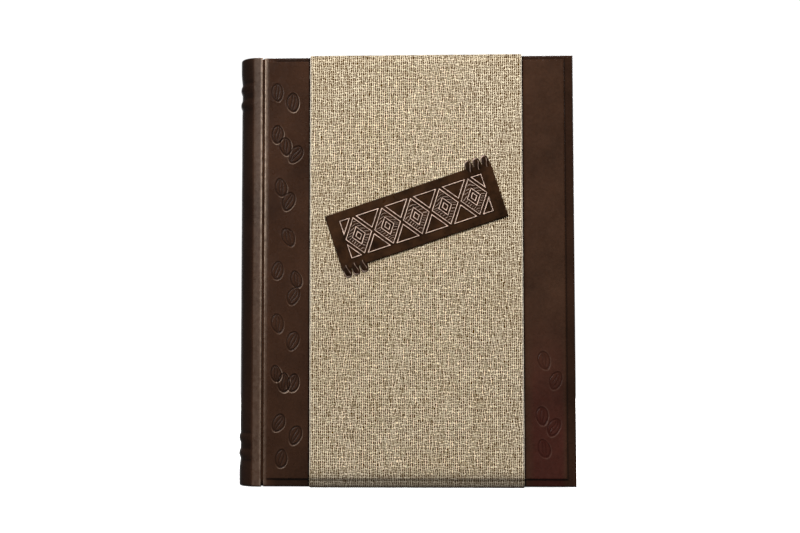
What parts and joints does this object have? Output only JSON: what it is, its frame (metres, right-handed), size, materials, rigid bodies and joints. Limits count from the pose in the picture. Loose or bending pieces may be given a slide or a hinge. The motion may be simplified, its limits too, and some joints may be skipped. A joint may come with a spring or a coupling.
{
  "type": "stamp album",
  "caption": "Upright leather-bound stamp album: hinged covers, rounded spine, linen band with a plaque, and hinged stock leaves with clear strips.",
  "frame": {"origin": "under the middle of the album, on the surface that it stands on", "axes": "+Z from tail to head, +X from the spine to the fore-edge, the front cover faces -Y"},
  "size_m": [0.228, 0.0422, 0.2914],
  "materials": {
    "brown_leather": "satin, blind tooled",
    "plaque_leather": "embossed, rubbed",
    "natural_linen": "plain weave",
    "endpaper": "laid",
    "leaf_card": "matt",
    "guard_paper": "matt",
    "clear_film": "clear",
    "grey_board": "raw",
    "mull_cloth": "open weave",
    "headband_silk": "worked silk"
  },
  "bodies": {
    "block": {"spine_leather": "brown_leather", "raised_bands": "grey_board", "spine_inlay": "grey_board", "spine_lining": "mull_cloth", "sewing_tapes": "mull_cloth", "headband_head": "headband_silk", "headband_tail": "headband_silk", "sewn_guards": "leaf_card", "front_joint": "brown_leather", "back_joint": "brown_leather", "front_endpaper_fold": "endpaper", "back_endpaper_fold": "endpaper"},
    "front_cover": {"front_board": "grey_board", "front_panel_card": "grey_board", "front_leather": "brown_leather", "front_pastedown": "endpaper", "linen_band": "natural_linen", "title_plaque": "plaque_leather"},
    "back_cover": {"back_board": "grey_board", "back_panel_card": "grey_board", "back_leather": "brown_leather", "back_pastedown": "endpaper"},
    "front_flyleaf": {"front_flyleaf": "endpaper"},
    "back_flyleaf": {"back_flyleaf": "endpaper"},
    "leaf_01": {"leaf_01": "leaf_card", "leaf_01_strips": "clear_film", "leaf_01_guard": "guard_paper"},
    "leaf_02": {"leaf_02": "leaf_card", "leaf_02_strips": "clear_film", "leaf_02_guard": "guard_paper"},
    "leaf_03": {"leaf_03": "leaf_card", "leaf_03_strips": "clear_film", "leaf_03_guard": "guard_paper"},
    "leaf_04": {"leaf_04": "leaf_card", "leaf_04_strips": "clear_film", "leaf_04_guard": "guard_paper"},
    "leaf_05": {"leaf_05": "leaf_card", "leaf_05_strips": "clear_film", "leaf_05_guard": "guard_paper"},
    "leaf_06": {"leaf_06": "leaf_card", "leaf_06_strips": "clear_film", "leaf_06_guard": "guard_paper"},
    "leaf_07": {"leaf_07": "leaf_card", "leaf_07_strips": "clear_film", "leaf_07_guard": "guard_paper"},
    "leaf_08": {"leaf_08": "leaf_card", "leaf_08_strips": "clear_film", "leaf_08_guard": "guard_paper"},
    "leaf_09": {"leaf_09": "leaf_card", "leaf_09_strips": "clear_film", "leaf_09_guard": "guard_paper"},
    "leaf_10": {"leaf_10": "leaf_card", "leaf_10_strips": "clear_film", "leaf_10_guard": "guard_paper"},
    "leaf_11": {"leaf_11": "leaf_card", "leaf_11_strips": "clear_film", "leaf_11_guard": "guard_paper"},
    "leaf_12": {"leaf_12": "leaf_card", "leaf_12_strips": "clear_film", "leaf_12_guard": "guard_paper"}
  },
  "joints": [
    {"name": "front_cover_open", "type": "hinge", "parent": "block", "child": "front_cover", "pos_m": [-0.0964, -0.01905, 0], "axis": [0, 0, -1], "range_deg": [0, 175], "deforming": ["front_joint", "front_endpaper_fold"]},
    {"name": "front_flyleaf_turn", "type": "hinge", "parent": "block", "child": "front_flyleaf", "pos_m": [-0.0964, -0.01905, 0], "axis": [0, 0, -1], "range_deg": [0, 153.12]},
    {"name": "leaf_01_turn", "type": "hinge", "parent": "block", "child": "leaf_01", "pos_m": [-0.0964, -0.01905, 0], "axis": [0, 0, -1], "range_deg": [0, 131.25], "deforming": ["leaf_01_guard"]},
    {"name": "leaf_02_turn", "type": "hinge", "parent": "block", "child": "leaf_02", "pos_m": [-0.0964, -0.01905, 0], "axis": [0, 0, -1], "range_deg": [0, 109.38], "deforming": ["leaf_02_guard"]},
    {"name": "leaf_03_turn", "type": "hinge", "parent": "block", "child": "leaf_03", "pos_m": [-0.0964, -0.01905, 0], "axis": [0, 0, -1], "range_deg": [0, 87.5], "deforming": ["leaf_03_guard"]},
    {"name": "leaf_04_turn", "type": "hinge", "parent": "block", "child": "leaf_04", "pos_m": [-0.0964, -0.01905, 0], "axis": [0, 0, -1], "range_deg": [0, 65.62], "deforming": ["leaf_04_guard"]},
    {"name": "leaf_05_turn", "type": "hinge", "parent": "block", "child": "leaf_05", "pos_m": [-0.0964, -0.01905, 0], "axis": [0, 0, -1], "range_deg": [0, 43.75], "deforming": ["leaf_05_guard"]},
    {"name": "leaf_06_turn", "type": "hinge", "parent": "block", "child": "leaf_06", "pos_m": [-0.0964, -0.01905, 0], "axis": [0, 0, -1], "range_deg": [0, 21.88], "deforming": ["leaf_06_guard"]},
    {"name": "back_cover_open", "type": "hinge", "parent": "block", "child": "back_cover", "pos_m": [-0.0964, 0.02135, 0], "axis": [0, 0, 1], "range_deg": [0, 175], "deforming": ["back_joint", "back_endpaper_fold"]},
    {"name": "back_flyleaf_turn", "type": "hinge", "parent": "block", "child": "back_flyleaf", "pos_m": [-0.0964, 0.02135, 0], "axis": [0, 0, 1], "range_deg": [0, 153.12]},
    {"name": "leaf_12_turn", "type": "hinge", "parent": "block", "child": "leaf_12", "pos_m": [-0.0964, 0.02135, 0], "axis": [0, 0, 1], "range_deg": [0, 131.25], "deforming": ["leaf_12_guard"]},
    {"name": "leaf_11_turn", "type": "hinge", "parent": "block", "child": "leaf_11", "pos_m": [-0.0964, 0.02135, 0], "axis": [0, 0, 1], "range_deg": [0, 109.38], "deforming": ["leaf_11_guard"]},
    {"name": "leaf_10_turn", "type": "hinge", "parent": "block", "child": "leaf_10", "pos_m": [-0.0964, 0.02135, 0], "axis": [0, 0, 1], "range_deg": [0, 87.5], "deforming": ["leaf_10_guard"]},
    {"name": "leaf_09_turn", "type": "hinge", "parent": "block", "child": "leaf_09", "pos_m": [-0.0964, 0.02135, 0], "axis": [0, 0, 1], "range_deg": [0, 65.62], "deforming": ["leaf_09_guard"]},
    {"name": "leaf_08_turn", "type": "hinge", "parent": "block", "child": "leaf_08", "pos_m": [-0.0964, 0.02135, 0], "axis": [0, 0, 1], "range_deg": [0, 43.75], "deforming": ["leaf_08_guard"]},
    {"name": "leaf_07_turn", "type": "hinge", "parent": "block", "child": "leaf_07", "pos_m": [-0.0964, 0.02135, 0], "axis": [0, 0, 1], "range_deg": [0, 21.88], "deforming": ["leaf_07_guard"]}
  ],
  "couplings": [
    {"joint": "front_flyleaf_turn", "follows": "front_cover_open", "ratio": 0.875},
    {"joint": "leaf_01_turn", "follows": "front_cover_open", "ratio": 0.75},
    {"joint": "leaf_02_turn", "follows": "front_cover_open", "ratio": 0.625},
    {"joint": "leaf_03_turn", "follows": "front_cover_open", "ratio": 0.5},
    {"joint": "leaf_04_turn", "follows": "front_cover_open", "ratio": 0.375},
    {"joint": "leaf_05_turn", "follows": "front_cover_open", "ratio": 0.25},
    {"joint": "leaf_06_turn", "follows": "front_cover_open", "ratio": 0.125},
    {"joint": "back_flyleaf_turn", "follows": "back_cover_open", "ratio": 0.875},
    {"joint": "leaf_12_turn", "follows": "back_cover_open", "ratio": 0.75},
    {"joint": "leaf_11_turn", "follows": "back_cover_open", "ratio": 0.625},
    {"joint": "leaf_10_turn", "follows": "back_cover_open", "ratio": 0.5},
    {"joint": "leaf_09_turn", "follows": "back_cover_open", "ratio": 0.375},
    {"joint": "leaf_08_turn", "follows": "back_cover_open", "ratio": 0.25},
    {"joint": "leaf_07_turn", "follows": "back_cover_open", "ratio": 0.125}
  ]
}
